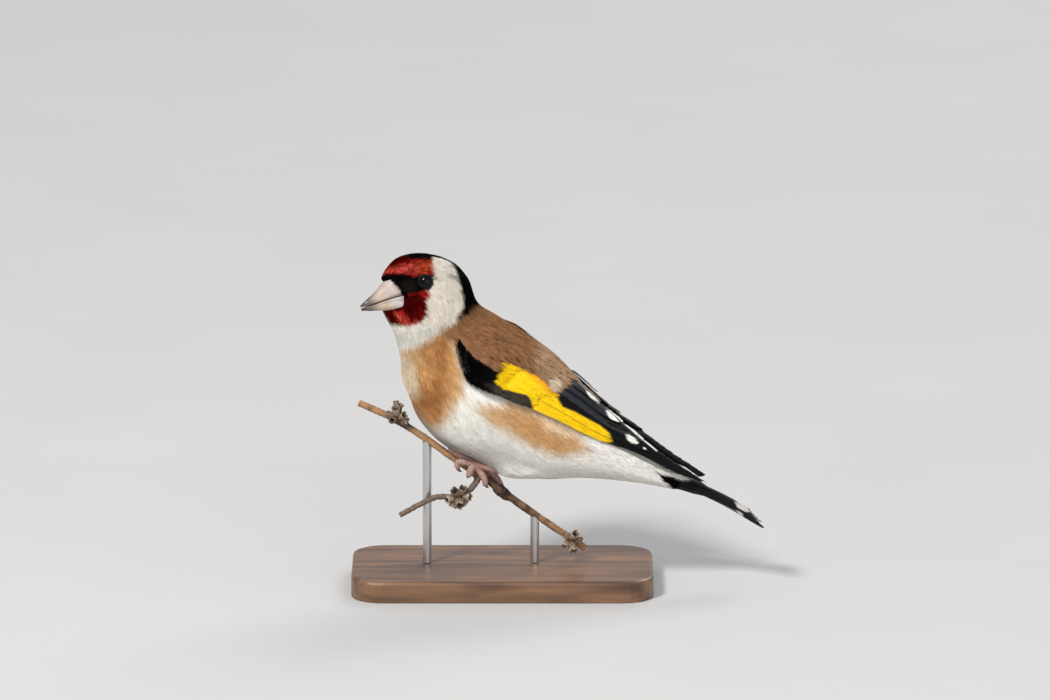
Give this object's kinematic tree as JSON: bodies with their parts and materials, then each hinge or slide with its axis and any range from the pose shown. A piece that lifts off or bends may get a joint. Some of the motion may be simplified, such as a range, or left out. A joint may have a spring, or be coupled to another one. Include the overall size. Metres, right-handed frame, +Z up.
{
  "type": "european goldfinch",
  "caption": "Still life-size goldfinch with red face and yellow wing bar, gripping a short cut twig held over a flat base by short rods.",
  "frame": {"origin": "middle of the flat underside of the stand's base", "axes": "+Z up, +X towards the tail, -Y the bird's left side"},
  "size_m": [0.1148, 0.046, 0.0947],
  "materials": {
    "head_feathers": "soft overlapping feathers, matt with a faint sheen",
    "neck_feathers": "soft overlapping feathers, matt with a faint sheen",
    "torso_feathers": "soft overlapping feathers, matt with a faint sheen",
    "wing_feathers": "soft overlapping feathers, matt with a faint sheen",
    "tail_feathers": "soft overlapping feathers, matt with a faint sheen",
    "leg_feathers": "soft overlapping feathers, matt with a faint sheen",
    "bare_skin": "scaled bare skin of shank and toes, satin, with dark horn claws",
    "eye": "polished near-black eye",
    "bill_horn": "ivory horn with a grey tip, satin",
    "twig_bark": "thin rough bark with bud scales",
    "stand_wood": "oiled hardwood, satin",
    "stand_metal": "fine brushed steel"
  },
  "bodies": {
    "root": {"head": "head_feathers", "neck": "neck_feathers", "torso": "torso_feathers", "wing_left": "wing_feathers", "wing_right": "wing_feathers", "tail": "tail_feathers", "leg_left": "leg_feathers", "leg_right": "leg_feathers", "foot_left": "bare_skin", "foot_right": "bare_skin", "eye_left": "eye", "eye_right": "eye", "bill_upper": "bill_horn", "bill_lower": "bill_horn", "perch_twig": "twig_bark", "stand_base": "stand_wood", "stand_rod_front": "stand_metal", "stand_rod_back": "stand_metal"}
  },
  "joints": []
}
